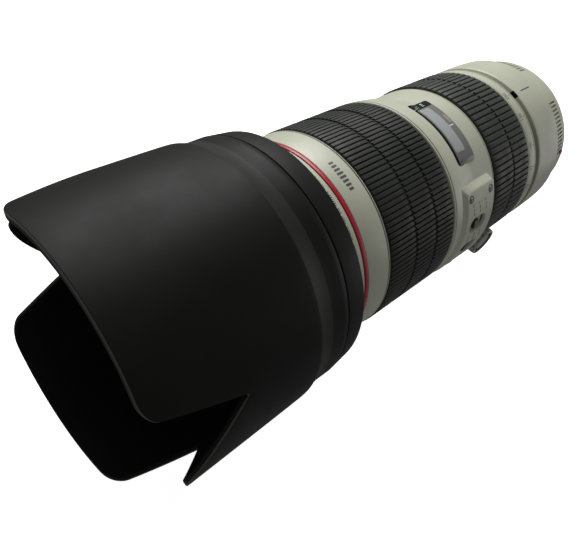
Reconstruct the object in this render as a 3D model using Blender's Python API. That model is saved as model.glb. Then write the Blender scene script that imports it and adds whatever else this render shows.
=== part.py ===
"""White telephoto zoom lens with petal hood, tripod collar and bayonet mount.

Frame: the origin is the centre of the mount's flange face on the optical axis, +Z is up (the distance
window's side), -Y points out of the front of the lens, +X is to the right of someone facing the front.
Lengths are in millimetres inside this file: "s" is the distance forward of the flange (y = -s), "r" a
radius about the optical axis, and angles run from +X towards +Z in degrees. MM turns them to metres.
"""

import bmesh
import bpy
from math import cos, radians, sin
from mathutils import Matrix, Vector

MM = 0.001
GAP = 0.3
ROUND = 40
INNER = 24
SMALL = 16

# Sections along the barrel, from the flange forward.
REAR_END = 13.5
COLLAR_START, COLLAR_END = 13.8, 36.5
SCALE_START, ZOOM_START, ZOOM_END = 37.0, 44.2, 73.2
MID_START, MID_END = 73.6, 108.9
FOCUS_END = 150.0
RED_START, RED_END = 163.1, 164.9
HOOD_START, HOOD_SEAM, HOOD_FRONT = 172.3, 182.3, 263.5
LENS_FRONT = 199.0

# Radii of the main surfaces.
TUBE_INNER, TUBE_OUTER = 34.0, 35.6
SEAT_R = 36.9
COLLAR_INNER, COLLAR_OUTER = 37.2, 40.2
GRIP_SEAT, ZOOM_R = 38.9, 40.75
MID_INNER = 38.4
FRONT_R = 42.5
CAM_INNER, CAM_OUTER = 31.8, 33.4

# Outside of the mid barrel, which flares forward to meet the focus ring.
MID_FLARE = ((75.0, 39.9), (91.0, 40.0), (95.0, 40.9), (98.2, 41.5), (101.2, 42.0), (104.2, 42.4),
             (107.2, 42.65))

# Distance window and switch panel on the mid barrel.
WINDOW_S = (84.4, 98.4)
WINDOW_ANGLES = (64.2, 113.0)
PANEL_S = (79.0, 101.9)
PANEL_ANGLES = (-52.9, 52.9)
PANEL_R = 43.2
PANEL_SEAT_R = 41.0
SWITCH_S = 90.5
SWITCH_LENGTH, SWITCH_WIDTH = 12.0, 6.8
SWITCH_ANGLES = (27.0, 8.7, -9.6, -27.9)
PANEL_SCREWS = ((96.9, 44.6), (82.3, 44.6), (96.9, -44.6), (82.3, -44.6))

# Petal hood: front edge as (angle from the middle of a long petal, s), mirrored and repeated. The lower
# long petal stands a little shorter in front of the notches than the upper one.
PETAL_EDGE = (
    (0.0, 263.5), (37.0, 263.5), (42.0, 262.0), (45.0, 259.0), (57.0, 229.5),
    (67.5, 239.5), (77.5, 246.6), (84.0, 249.4), (90.0, 250.6),
)
NOTCH_AWAY, NOTCH_S = 57.0, 229.5
LOW_PETAL_SHARE = 0.88
HOOD_OUTLINE = ((0.3, 50.2), (6.7, 50.2), (15.2, 51.8), (21.7, 52.3))
HOOD_TIP_R = 53.6
HOOD_WALL = 1.7
BUTTON_ANGLE, BUTTON_S = -50.0, 177.2

# Mount.
FLANGE_R, THROAT_R = 32.5, 22.5
CLAW_CENTRES = (30.0, 150.0, 270.0)
CLAW_HALF = 24.0
MOUNT_SCREW_R = 29.8
MOUNT_SCREW_ANGLES = (0.0, 90.0, 180.0, 270.0)

# Tripod collar.
HINGE_ANGLE, HINGE_R = 178.0, 42.8
SPLIT_ANGLE = HINGE_ANGLE - 180.0
KNOB_S, KNOB_X, KNOB_Z = 27.0, 32.15, -39.26
KNOB_R, KNOB_TILT = 8.2, 13.0
FOOT_TOP, FOOT_BOTTOM = -64.0, -73.0

# Iris and stabiliser.
BLADES = 8
BLADE_PIVOT_R = 25.0
BLADE_FIRST_S, BLADE_PITCH, BLADE_THICK = 39.7, 0.8, 0.45

MATERIALS = {
    "white_paint": ((0.62, 0.61, 0.51), 0.42, 0.0),
    "rubber": ((0.045, 0.047, 0.042), 0.7, 0.0),
    "hood_black": ((0.022, 0.025, 0.021), 0.55, 0.0),
    "black_metal": ((0.02, 0.02, 0.02), 0.4, 0.6),
    "dark_plastic": ((0.03, 0.03, 0.03), 0.5, 0.0),
    "red_paint": ((0.55, 0.02, 0.03), 0.35, 0.0),
    "steel": ((0.72, 0.72, 0.72), 0.25, 1.0),
    "aluminium": ((0.6, 0.6, 0.6), 0.4, 1.0),
    "glass": ((0.8, 0.9, 0.88), 0.03, 0.0),
    "window": ((0.25, 0.27, 0.27), 0.08, 0.0),
    "grey_knob": ((0.4, 0.4, 0.36), 0.4, 0.2),
    "brass": ((0.75, 0.6, 0.3), 0.3, 1.0),
}


def clear_scene():
    for item in list(bpy.data.objects):
        bpy.data.objects.remove(item, do_unlink=True)


def add_material(item, kind):
    """Give the object its own Principled material."""
    colour, roughness, metallic = MATERIALS[kind]
    material = bpy.data.materials.new(item.name)
    material.use_nodes = True
    shader = material.node_tree.nodes["Principled BSDF"]
    shader.inputs["Base Color"].default_value = (*colour, 1.0)
    shader.inputs["Roughness"].default_value = roughness
    shader.inputs["Metallic"].default_value = metallic
    material.diffuse_color = (*colour, 1.0)
    item.data.materials.append(material)


def finish_mesh(name, mesh, kind):
    """Close a bmesh into a named object, shaded smooth with sharp edges kept."""
    bmesh.ops.remove_doubles(mesh, verts=mesh.verts, dist=1e-7)
    bmesh.ops.recalc_face_normals(mesh, faces=mesh.faces)
    data = bpy.data.meshes.new(name)
    mesh.to_mesh(data)
    mesh.free()
    data.shade_smooth()
    data.set_sharp_from_angle(angle=radians(35.0))
    item = bpy.data.objects.new(name, data)
    bpy.context.scene.collection.objects.link(item)
    if kind:
        add_material(item, kind)
    return item


def even_angles(steps, start=0.0, sweep=360.0):
    """Angles for a full turn (the last one left out) or for a part turn (both ends kept)."""
    full = sweep >= 360.0
    count = steps if full else steps + 1
    return [start + sweep * i / steps for i in range(count)]


def around(name, profile_at, angles, kind, full=True):
    """Solid swept about the optical axis; profile_at(angle) gives the closed outline of (s, r) there."""
    mesh = bmesh.new()
    loops = []
    for angle in angles:
        c, d = cos(radians(angle)), sin(radians(angle))
        loop = [mesh.verts.new((r * c * MM, -s * MM, r * d * MM)) for s, r in profile_at(angle)]
        loops.append(loop)
    following = loops[1:] + loops[:1] if full else loops[1:]
    for near, far in zip(loops, following):
        for i in range(len(near)):
            j = (i + 1) % len(near)
            mesh.faces.new((near[i], near[j], far[j], far[i]))
    if not full:
        mesh.faces.new(loops[0])
        mesh.faces.new(loops[-1])
    return finish_mesh(name, mesh, kind)


def turned(name, outline, kind, steps=ROUND):
    """Solid of revolution from a closed outline of (s, r)."""
    return around(name, lambda angle: outline, even_angles(steps), kind)


def tube(name, s0, s1, r0, r1, kind, steps=ROUND):
    return turned(name, ((s0, r0), (s0, r1), (s1, r1), (s1, r0)), kind, steps)


def sector(name, s0, s1, r0, r1, start, end, kind, steps):
    """Part of a tube between two angles."""
    outline = ((s0, r0), (s0, r1), (s1, r1), (s1, r0))
    return around(name, lambda angle: outline, even_angles(steps, start, end - start), kind, full=False)


def disc(name, s0, s1, r, kind, steps=SMALL):
    """Plain cylinder on the optical axis."""
    return turned(name, ((s0, 0.0), (s0, r), (s1, r), (s1, 0.0)), kind, steps)


def lens(name, s0, s1, r, front_bulge, rear_bulge, kind="glass"):
    """Lens element: rim from s0 to s1, surfaces bulging forward and back on the axis."""
    rear = ((s0 - rear_bulge, 0.0), (s0 - 0.75 * rear_bulge, 0.5 * r), (s0, r))
    front = ((s1, r), (s1 + 0.75 * front_bulge, 0.5 * r), (s1 + front_bulge, 0.0))
    return turned(name, rear + front, kind, INNER)


def prism(name, outline, s0, s1, kind):
    """Outline of (x, z) extruded along the optical axis."""
    mesh = bmesh.new()
    near = [mesh.verts.new((x * MM, -s0 * MM, z * MM)) for x, z in outline]
    far = [mesh.verts.new((x * MM, -s1 * MM, z * MM)) for x, z in outline]
    mesh.faces.new(near)
    mesh.faces.new(far)
    for i in range(len(outline)):
        j = (i + 1) % len(outline)
        mesh.faces.new((near[i], near[j], far[j], far[i]))
    return finish_mesh(name, mesh, kind)


def slot_outline(length, width, steps=6):
    """Round-ended slot, long along x."""
    half = length / 2 - width / 2
    points = []
    for side, start in ((1, -90.0), (-1, 90.0)):
        for i in range(steps + 1):
            turn = radians(start + 180.0 * i / steps)
            points.append((side * half + cos(turn) * width / 2, sin(turn) * width / 2))
    return points


def arc_points(radius, start, end, steps, centre=(0.0, 0.0)):
    turns = [radians(start + (end - start) * i / steps) for i in range(steps + 1)]
    return [(centre[0] + radius * cos(t), centre[1] + radius * sin(t)) for t in turns]


def point_at(s, r, angle):
    """World position in metres of a point at s, r and angle."""
    return Vector((r * cos(radians(angle)), -s, r * sin(radians(angle)))) * MM


def stand_out(item, s, r, angle):
    """Turn a piece built along the optical axis so that it stands out of the barrel at s and angle."""
    turn = Matrix.Rotation(radians(-angle), 4, "Y") @ Matrix.Rotation(radians(90.0), 4, "Z")
    item.matrix_world = Matrix.Translation(point_at(s, r, angle)) @ turn
    return item


def set_origin(item, point):
    """Move the object's origin to a world point without moving its shape."""
    item.data.transform(Matrix.Translation(-point))
    item.location = point
    return item


def combine(item, cutter, operation):
    """Boolean with a hidden tool object."""
    modifier = item.modifiers.new(cutter.name, "BOOLEAN")
    modifier.operation = operation
    modifier.object = cutter
    modifier.solver = "EXACT"
    cutter.hide_render = True
    cutter.display_type = "WIRE"
    return item


def join(items):
    """Put several tool shapes into one object."""
    first = items[0]
    bpy.context.view_layer.update()
    mesh = bmesh.new()
    for item in items:
        shape = item.data.copy()
        shape.transform(item.matrix_world)
        mesh.from_mesh(shape)
    for item in items[1:]:
        bpy.data.objects.remove(item, do_unlink=True)
    first.matrix_world = Matrix.Identity(4)
    mesh.to_mesh(first.data)
    mesh.free()
    return first


def build_mount():
    edges = [centre + side * (CLAW_HALF + step)
             for centre in CLAW_CENTRES for side in (-1, 1) for step in (0, 0.5)]
    angles = sorted(set(even_angles(ROUND)) | {edge % 360.0 for edge in edges})

    def profile(angle):
        near = min(abs((angle - centre + 180.0) % 360.0 - 180.0) for centre in CLAW_CENTRES)
        claw = 27.0 if near <= CLAW_HALF + 0.01 else 24.7
        return ((-6.0, THROAT_R), (-6.0, claw), (-4.4, claw), (-4.4, 24.5), (0.0, 24.5), (0.0, FLANGE_R),
                (3.0, FLANGE_R), (3.0, THROAT_R))

    bayonet = around("mount_bayonet", profile, angles, "steel")
    pockets = []
    for index, angle in enumerate(MOUNT_SCREW_ANGLES):
        spot = point_at(0.0, MOUNT_SCREW_R, angle)
        pocket = disc(f"mount_pocket_{index + 1}", -1.0, 1.6, 1.9, None)
        pocket.location = spot
        pockets.append(pocket)
        screw = disc(f"mount_screw_{index + 1}", 0.2, 1.3, 1.5, "steel")
        screw.location = spot
    combine(bayonet, join(pockets), "DIFFERENCE")
    tube("mount_gasket", -0.9, 0.0, 33.2, 35.2, "rubber")
    sector("contact_block", -5.0, 4.0, 19.0, 22.1, -125.0, -55.0, "dark_plastic", 10)


def build_fixed_barrel():
    turned("rear_barrel", ((0.3, 32.8), (0.3, 35.6), (1.2, 36.2), (REAR_END, 38.3), (REAR_END, SEAT_R),
                           (COLLAR_END + 0.1, SEAT_R), (COLLAR_END + 0.1, 35.9), (3.0, 35.9), (3.0, 32.8)),
           "white_paint")
    main = turned("main_tube", ((3.3, 24.0), (3.3, TUBE_OUTER), (FOCUS_END, TUBE_OUTER),
                                (FOCUS_END, TUBE_INNER), (24.0, TUBE_INNER), (24.0, 18.3),
                                (18.0, 18.3), (18.0, 24.0)),
                  "black_metal")
    slot = sector("zoom_slot", 57.5, 66.5, 33.6, 37.0, 175.0, 272.0, None, 16)
    combine(main, slot, "DIFFERENCE")
    lens("rear_element", 18.6, 22.6, 18.0, 2.0, 1.5)

    turned("front_barrel", ((150.4, 36.2), (150.4, 42.7), (RED_START - GAP, FRONT_R), (RED_START - GAP, 41.4),
                            (RED_END + GAP, 41.4), (RED_END + GAP, FRONT_R), (172.0, 42.2), (190.0, 42.0),
                            (190.0, 39.6), (153.0, 39.6), (153.0, 36.2)),
           "white_paint")
    tube("red_ring", RED_START, RED_END, 41.7, 42.8, "red_paint")
    turned("filter_ring", ((190.3, 38.0), (190.3, 42.2), (LENS_FRONT, 42.2), (LENS_FRONT, 38.9),
                           (193.4, 38.9), (193.4, 38.0)), "black_metal")
    lens("front_element", 182.0, 189.0, 39.2, 4.0, -1.0)


def build_mid_barrel():
    front = MID_END - GAP
    outline = ((MID_START, 36.2), (MID_START, 39.6), *MID_FLARE, (front, 42.7), (front, MID_INNER),
               (79.8, MID_INNER), (79.8, 36.2))
    mid = turned("mid_barrel", outline, "white_paint")
    opening = sector("window_opening", *WINDOW_S, 37.9, 43.0, *WINDOW_ANGLES, None, 8)
    combine(mid, opening, "DIFFERENCE")
    edge = 0.5
    sector("distance_window", WINDOW_S[0] + GAP, WINDOW_S[1] - GAP, 38.7, 40.6,
           WINDOW_ANGLES[0] + edge, WINDOW_ANGLES[1] - edge, "window", 8)
    tube("motor_stator", 99.0, 103.0, 35.9, 37.1, "brass")


def build_switch_panel():
    rear, front = PANEL_S
    under = [(s, r + GAP) for s, r in MID_FLARE if rear < s < front]
    outline = ((rear, 40.2), *under, (front, 42.4), (front, 42.7), (front - 2.5, PANEL_R), (rear, PANEL_R))
    start, end = PANEL_ANGLES
    panel = around("switch_panel", lambda angle: outline, even_angles(24, start, end - start), "white_paint",
                   full=False)
    holes = []
    for index, angle in enumerate(SWITCH_ANGLES):
        hole = prism(f"switch_slot_{index + 1}", slot_outline(SWITCH_LENGTH, SWITCH_WIDTH), -2.0, 3.0, None)
        holes.append(stand_out(hole, SWITCH_S, PANEL_SEAT_R, angle))
    for index, (s, angle) in enumerate(PANEL_SCREWS):
        hole = disc(f"panel_pocket_{index + 1}", 0.9, 3.0, 1.7, None)
        holes.append(stand_out(hole, s, PANEL_SEAT_R, angle))
        screw = disc(f"panel_screw_{index + 1}", 1.2, 2.0, 1.35, "steel")
        stand_out(screw, s, PANEL_SEAT_R, angle)
    combine(panel, join(holes), "DIFFERENCE")
    for index, angle in enumerate(SWITCH_ANGLES):
        nib = ((0.4, 0.0), (0.4, 2.5), (1.1, 2.5), (1.1, 1.5), (2.8, 1.2), (2.8, 0.0))
        slider = turned(f"switch_slider_{index + 1}", nib, "dark_plastic", SMALL)
        stand_out(slider, SWITCH_S + 1.0, PANEL_SEAT_R, angle)


def build_focus():
    tube("focus_sleeve", MID_END + GAP, FOCUS_END, 36.6, 40.5, "dark_plastic")
    turned("focus_rubber", ((MID_END + GAP, 40.8), (MID_END + GAP, 42.7), (FOCUS_END, 43.0),
                            (FOCUS_END, 40.8)), "rubber")
    turned("distance_scale", ((82.0, 37.4), (82.0, 38.0), (108.0, 38.0), (108.0, 36.2), (104.6, 36.2),
                              (104.6, 37.4)), "dark_plastic")
    turned("focus_carriage", ((128.0, 27.3), (128.0, 33.7), (140.0, 33.7), (140.0, 31.0), (136.0, 27.3)),
           "aluminium", INNER)
    lens("focus_element", 129.0, 135.0, 27.0, 3.0, 1.0)


def build_zoom():
    turned("zoom_sleeve", ((SCALE_START, 38.0), (SCALE_START, 40.0), (ZOOM_START - GAP, 40.1),
                           (ZOOM_START - GAP, GRIP_SEAT), (ZOOM_END, GRIP_SEAT), (ZOOM_END, 37.2),
                           (40.0, 37.2)), "white_paint")
    turned("zoom_rubber", ((ZOOM_START, GRIP_SEAT + GAP), (ZOOM_START, 40.4), (ZOOM_END, ZOOM_R),
                           (ZOOM_END, GRIP_SEAT + GAP)), "rubber")
    lug_centre, lug_half = 180.0 + 8.0, 5.0
    edges = {lug_centre + side * (lug_half + step) for side in (-1, 1) for step in (0, 0.5)}

    def profile(angle):
        top = 36.8 if abs(angle - lug_centre) <= lug_half + 0.01 else CAM_OUTER + 0.1
        return ((52.0, CAM_INNER), (52.0, CAM_OUTER), (59.0, CAM_OUTER), (59.0, top), (65.0, top),
                (65.0, CAM_OUTER), (124.0, CAM_OUTER), (124.0, CAM_INNER))

    around("cam_tube", profile, sorted(set(even_angles(INNER)) | edges), "aluminium")
    tube("variator_carriage", 70.0, 82.0, 21.3, 31.3, "black_metal", INNER)
    lens("variator_element", 73.0, 77.0, 21.0, -1.0, 0.5)
    tube("compensator_carriage", 55.0, 62.0, 19.3, 31.3, "black_metal", INNER)
    lens("compensator_element", 56.5, 60.5, 19.0, 1.5, 0.5)


def build_iris():
    turned("aperture_housing", ((38.0, 17.5), (38.0, 33.7), (50.0, 33.7), (50.0, 17.5), (48.8, 17.5),
                                (48.8, 30.5), (39.2, 30.5), (39.2, 17.5)), "black_metal", INNER)
    tube("iris_ring", 46.5, 48.3, 17.8, 30.0, "black_metal", INNER)
    for index in range(BLADES):
        angle = 360.0 * index / BLADES
        outline = (arc_points(27.5, angle - 3.0, angle + 58.0, 8)
                   + list(reversed(arc_points(18.0, angle - 3.0, angle + 58.0, 8))))
        s = BLADE_FIRST_S + BLADE_PITCH * index
        blade = prism(f"iris_blade_{index + 1}", outline, s, s + BLADE_THICK, "black_metal")
        set_origin(blade, point_at(s, BLADE_PIVOT_R, angle))


def build_stabiliser():
    turned("stabiliser_housing", ((27.0, 24.0), (27.0, 33.7), (37.0, 33.7), (37.0, 28.6), (28.4, 28.6),
                                  (28.4, 24.0)), "black_metal", INNER)
    tube("stabiliser_yoke", 29.0, 35.0, 21.4, 27.2, "aluminium", INNER)
    tube("stabiliser_cell", 29.5, 34.5, 16.6, 20.0, "dark_plastic", INNER)
    lens("stabiliser_element", 30.0, 34.0, 16.3, 0.8, 0.6)


def build_hood():
    ring = turned("hood_ring", ((HOOD_START, 43.2), (HOOD_START, 48.9), (HOOD_SEAM, 50.1), (HOOD_SEAM, 43.2)),
                  "hood_black")
    pocket = stand_out(disc("button_pocket", 45.2, 53.0, 3.6, None), BUTTON_S, 0.0, BUTTON_ANGLE)
    combine(ring, pocket, "DIFFERENCE")
    button = disc("hood_release_button", -3.2, 0.6, 3.2, "dark_plastic")
    stand_out(button, BUTTON_S, 49.6, BUTTON_ANGLE)

    turns = {side * step for step, _ in PETAL_EDGE for side in (-1, 1)}
    edges = {(90.0 + turn + flip) % 360.0 for turn in turns for flip in (0.0, 180.0)}
    angles = sorted(set(even_angles(36)) | edges)

    def front_edge(angle):
        away = abs((angle - 90.0 + 90.0) % 180.0 - 90.0)
        for (a0, s0), (a1, s1) in zip(PETAL_EDGE, PETAL_EDGE[1:]):
            if away <= a1 + 1e-6:
                tip = s0 + (s1 - s0) * (away - a0) / (a1 - a0)
                share = LOW_PETAL_SHARE if angle > 180.0 and away < NOTCH_AWAY else 1.0
                return NOTCH_S + (tip - NOTCH_S) * share
        return PETAL_EDGE[-1][1]

    def profile(angle):
        tip = front_edge(angle)
        s_last, r_last = HOOD_SEAM + HOOD_OUTLINE[-1][0], HOOD_OUTLINE[-1][1]
        tip_r = r_last + (HOOD_TIP_R - r_last) * (tip - s_last) / (HOOD_FRONT - s_last)
        outer = [(HOOD_SEAM + s, r) for s, r in HOOD_OUTLINE] + [(tip, tip_r)]
        return outer + [(s, r - HOOD_WALL) for s, r in reversed(outer)]

    around("hood_shell", profile, angles, "hood_black")


def hinge_knuckle(name, s0, s1, lug_start, lug_end):
    """Barrel of the collar's hinge with the lug that carries it, as a tool shape."""
    barrel = tube(name, s0, s1, 1.0, 2.1, None, SMALL)
    barrel.location = point_at(0.0, HINGE_R, HINGE_ANGLE)
    bpy.context.view_layer.update()
    lug = sector(f"{name}_lug", s0, s1, 38.6, 41.6, HINGE_ANGLE + lug_start, HINGE_ANGLE + lug_end, None, 3)
    return barrel, lug


def build_collar():
    edge = 0.25
    outline = ((COLLAR_START, COLLAR_INNER), (COLLAR_START, 39.3), (15.0, 39.8), (20.0, 39.95),
               (31.0, COLLAR_OUTER), (34.8, COLLAR_OUTER), (COLLAR_END, 38.6), (COLLAR_END, COLLAR_INNER))
    band_turn = HINGE_ANGLE - SPLIT_ANGLE - 2 * edge
    base_turn = 360.0 + SPLIT_ANGLE - HINGE_ANGLE - 2 * edge
    band = around("collar_band", lambda angle: outline,
                  even_angles(24, SPLIT_ANGLE + edge, band_turn), "white_paint", full=False)
    base = around("collar_base", lambda angle: outline,
                  even_angles(24, HINGE_ANGLE + edge, base_turn), "white_paint", full=False)

    hinge = point_at(0.0, HINGE_R, HINGE_ANGLE)
    set_origin(band, hinge)
    for part in hinge_knuckle("band_knuckle", 20.4, 29.6, -7.0, -0.8):
        combine(band, part, "UNION")
    for index, (s0, s1) in enumerate(((15.0, 20.0), (30.0, 35.0))):
        for part in hinge_knuckle(f"base_knuckle_{index + 1}", s0, s1, 0.8, 7.0):
            combine(base, part, "UNION")
    pin = disc("collar_hinge_pin", 14.8, 35.2, 0.7, "steel")
    pin.location = hinge

    neck = arc_points(39.2, -107.0, -73.0, 6) + [(9.0, FOOT_TOP + GAP), (-9.0, FOOT_TOP + GAP)]
    combine(base, prism("foot_neck", neck, 15.0, 34.5, None), "UNION")
    boss = arc_points(39.2, -66.0, -30.0, 6) + [(KNOB_X - 1.5, KNOB_Z + 6.0), (KNOB_X - 1.5, KNOB_Z - 5.0),
                                                (19.0, KNOB_Z - 5.0)]
    combine(base, prism("knob_boss", boss, 21.0, 33.0, None), "UNION")
    half, chamfer = 15.0, 3.5
    section = ((-half, FOOT_BOTTOM), (half, FOOT_BOTTOM), (half, FOOT_TOP - chamfer),
               (half - chamfer, FOOT_TOP), (chamfer - half, FOOT_TOP), (-half, FOOT_TOP - chamfer))
    plate = prism("collar_foot", section, 2.0, 58.0, "white_paint")
    bores = []
    for index, (s, r) in enumerate(((22.0, 3.2), (40.0, 4.8))):
        bore = disc(f"foot_bore_{index + 1}", -1.0, 7.0, r, None)
        bore.matrix_world = (Matrix.Translation(Vector((0.0, -s, FOOT_BOTTOM)) * MM)
                             @ Matrix.Rotation(radians(-90.0), 4, "X"))
        bores.append(bore)
    combine(plate, join(bores), "DIFFERENCE")

    flutes = 12

    def knob_profile(angle):
        grip = KNOB_R - 0.5 * (0.5 - 0.5 * cos(radians(angle * flutes)))
        return ((0.0, 0.0), (0.0, 5.0), (1.0, 5.5), (1.0, grip), (8.8, grip), (9.6, 7.4), (9.6, 6.6),
                (9.0, 6.3), (9.0, 0.0))

    knob = around("collar_knob", knob_profile, even_angles(3 * flutes), "grey_knob")
    knob.matrix_world = (Matrix.Translation(Vector((KNOB_X, -KNOB_S, KNOB_Z)) * MM)
                         @ Matrix.Rotation(radians(-KNOB_TILT), 4, "Y")
                         @ Matrix.Rotation(radians(90.0), 4, "Z"))


clear_scene()
build_mount()
build_fixed_barrel()
build_mid_barrel()
build_switch_panel()
build_focus()
build_zoom()
build_iris()
build_stabiliser()
build_hood()
build_collar()
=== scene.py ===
"""Looks of the white telephoto zoom lens with its black petal hood.

Lengths are in millimetres, as on the drawing of the lens: "s" is the distance forward of the mount's
flange face (y = -s), "r" a radius about the optical axis, and angles run from +X towards +Z in degrees.
MM turns them to metres.
"""

from math import asin, atan2, cos, hypot, pi, radians, sin

import bmesh
import bpy
from mathutils import Matrix, Vector


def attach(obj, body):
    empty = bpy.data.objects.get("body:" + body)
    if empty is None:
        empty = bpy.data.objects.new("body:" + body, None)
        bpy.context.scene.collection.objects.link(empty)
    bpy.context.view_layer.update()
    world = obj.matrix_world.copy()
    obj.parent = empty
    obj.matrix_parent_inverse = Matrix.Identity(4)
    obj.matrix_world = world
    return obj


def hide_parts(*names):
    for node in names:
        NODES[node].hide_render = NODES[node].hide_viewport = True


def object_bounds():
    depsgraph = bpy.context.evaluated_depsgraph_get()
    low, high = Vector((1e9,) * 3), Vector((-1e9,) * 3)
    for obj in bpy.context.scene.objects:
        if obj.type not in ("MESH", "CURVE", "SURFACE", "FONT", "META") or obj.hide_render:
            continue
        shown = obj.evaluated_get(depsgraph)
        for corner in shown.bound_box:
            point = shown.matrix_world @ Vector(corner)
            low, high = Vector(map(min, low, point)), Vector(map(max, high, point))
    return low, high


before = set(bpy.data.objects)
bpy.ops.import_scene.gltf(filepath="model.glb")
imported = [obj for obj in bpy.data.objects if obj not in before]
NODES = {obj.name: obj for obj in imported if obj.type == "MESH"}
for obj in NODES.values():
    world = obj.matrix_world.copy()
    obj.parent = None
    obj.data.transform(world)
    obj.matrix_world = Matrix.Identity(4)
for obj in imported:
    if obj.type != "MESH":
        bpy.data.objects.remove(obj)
cad_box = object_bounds()

MM = 0.001
FINE = 256
MEDIUM = 128

# ---------------- materials


class Shader:
    """A Principled material with small helpers for procedural detail in object coordinates."""

    def __init__(self, name):
        self.material = bpy.data.materials.new(name)
        self.material.use_nodes = True
        self.nodes = self.material.node_tree.nodes
        self.links = self.material.node_tree.links
        self.base = self.nodes["Principled BSDF"]
        self.coords = self.nodes.new("ShaderNodeTexCoord").outputs["Object"]
        self.height = None

    def set(self, **values):
        for name, value in values.items():
            self.base.inputs[name.replace("_", " ")].default_value = value
        return self

    def noise(self, scale, detail=4.0, roughness=0.55, stretch=None):
        """Noise value; scale is in features per metre."""
        source = self.coords
        if stretch:
            mapping = self.nodes.new("ShaderNodeMapping")
            mapping.inputs["Scale"].default_value = stretch
            self.links.new(source, mapping.inputs["Vector"])
            source = mapping.outputs["Vector"]
        node = self.nodes.new("ShaderNodeTexNoise")
        for key, number in (("Scale", scale), ("Detail", detail), ("Roughness", roughness)):
            node.inputs[key].default_value = number
        self.links.new(source, node.inputs["Vector"])
        return node.outputs["Fac"]

    def remap(self, value, low, high, out_low, out_high):
        node = self.nodes.new("ShaderNodeMapRange")
        for key, number in (("From Min", low), ("From Max", high), ("To Min", out_low), ("To Max", out_high)):
            node.inputs[key].default_value = number
        self.links.new(value, node.inputs["Value"])
        return node.outputs["Result"]

    def edges(self, low, high):
        """1 on convex edges, 0 on flats and hollows."""
        node = self.nodes.new("ShaderNodeNewGeometry")
        return self.remap(node.outputs["Pointiness"], low, high, 0.0, 1.0)

    def mix(self, factor, first, second):
        node = self.nodes.new("ShaderNodeMix")
        node.data_type = "RGBA"
        self.links.new(factor, node.inputs["Factor"])
        for index, colour in ((6, first), (7, second)):
            if isinstance(colour, tuple):
                node.inputs[index].default_value = (*colour, 1.0)
            else:
                self.links.new(colour, node.inputs[index])
        return node.outputs[2]

    def colour(self, value):
        self.links.new(value, self.base.inputs["Base Color"])
        return self

    def roughness(self, value):
        self.links.new(value, self.base.inputs["Roughness"])
        return self

    def uneven_gloss(self, scale, low, high, detail=4.0):
        return self.roughness(self.remap(self.noise(scale, detail), 0.3, 0.7, low, high))

    def bump(self, value, strength, depth):
        """Add a bump of the given depth in metres on top of any earlier one."""
        node = self.nodes.new("ShaderNodeBump")
        node.inputs["Strength"].default_value = strength
        node.inputs["Distance"].default_value = depth
        self.links.new(value, node.inputs["Height"])
        if self.height:
            self.links.new(self.height, node.inputs["Normal"])
        self.height = node.outputs["Normal"]
        self.links.new(self.height, self.base.inputs["Normal"])
        return self


def painted(name, colour, dirt, rough=(0.36, 0.48)):
    """Satin paint: fine orange peel, faint mottling, specks, and darker in hollows."""
    shader = Shader(name)
    mottled = shader.mix(shader.remap(shader.noise(60.0), 0.35, 0.7, 0.0, 0.35), colour, dirt)
    specks = shader.remap(shader.noise(1900.0, 2.0), 0.68, 0.78, 0.0, 0.3)
    speckled = shader.mix(specks, mottled, dirt)
    # Darkens the paint in hollows, found by pointiness.
    hollow_darkening = shader.remap(shader.edges(0.44, 0.49), 0.0, 1.0, 0.55, 0.0)
    shader.colour(shader.mix(hollow_darkening, speckled, tuple(0.45 * c for c in dirt)))
    shader.uneven_gloss(140.0, *rough)
    shader.bump(shader.noise(2600.0, 3.0), 0.10, 0.00012)
    shader.set(Coat_Weight=0.05, Coat_Roughness=0.25)
    return shader.material


def moulded(name, colour, rough=(0.45, 0.6), grain=1500.0, depth=0.00012, strength=0.2, dust=0.25,
            shine=0.5):
    """Moulded plastic: spark-eroded grain, uneven gloss, dust and rubbed edges."""
    shader = Shader(name)
    pale = tuple(min(1.0, 1.8 * c + 0.006) for c in colour)
    dusty = shader.mix(shader.remap(shader.noise(90.0, 6.0), 0.4, 0.8, 0.0, dust), colour, pale)
    shader.colour(shader.mix(shader.remap(shader.edges(0.51, 0.57), 0.0, 1.0, 0.0, 0.5), dusty, pale))
    shader.uneven_gloss(55.0, *rough)
    shader.bump(shader.noise(grain, 2.0), strength, depth)
    shader.set(Specular_IOR_Level=shine)
    return shader.material


def metal(name, colour, rough=(0.2, 0.34), metallic=1.0):
    """Turned metal: fine tool marks, uneven gloss and bright edges."""
    shader = Shader(name)
    bright = tuple(min(1.0, 1.3 * c + 0.03) for c in colour)
    worn = shader.mix(shader.remap(shader.edges(0.51, 0.56), 0.0, 1.0, 0.0, 0.7), colour, bright)
    shader.colour(shader.mix(shader.remap(shader.noise(300.0), 0.4, 0.8, 0.0, 0.25), worn,
                             tuple(0.7 * c for c in colour)))
    shader.uneven_gloss(400.0, *rough, detail=3.0)
    shader.bump(shader.noise(2200.0, 2.0, 0.5, (0.15, 1.0, 0.15)), 0.12, 0.00005)
    shader.set(Metallic=metallic)
    return shader.material


def glassy(name, colour):
    """Coated optical glass with faint dust."""
    shader = Shader(name)
    dust = shader.remap(shader.noise(900.0, 3.0), 0.66, 0.8, 0.0, 0.2)
    shader.roughness(shader.remap(dust, 0.0, 0.2, 0.02, 0.17))
    shader.colour(shader.mix(dust, colour, tuple(0.9 * c for c in colour)))
    shader.set(Transmission_Weight=0.95, IOR=1.52, Coat_Weight=0.6, Coat_Roughness=0.02,
               Coat_Tint=(0.82, 0.95, 0.88, 1.0))
    return shader.material


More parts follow.
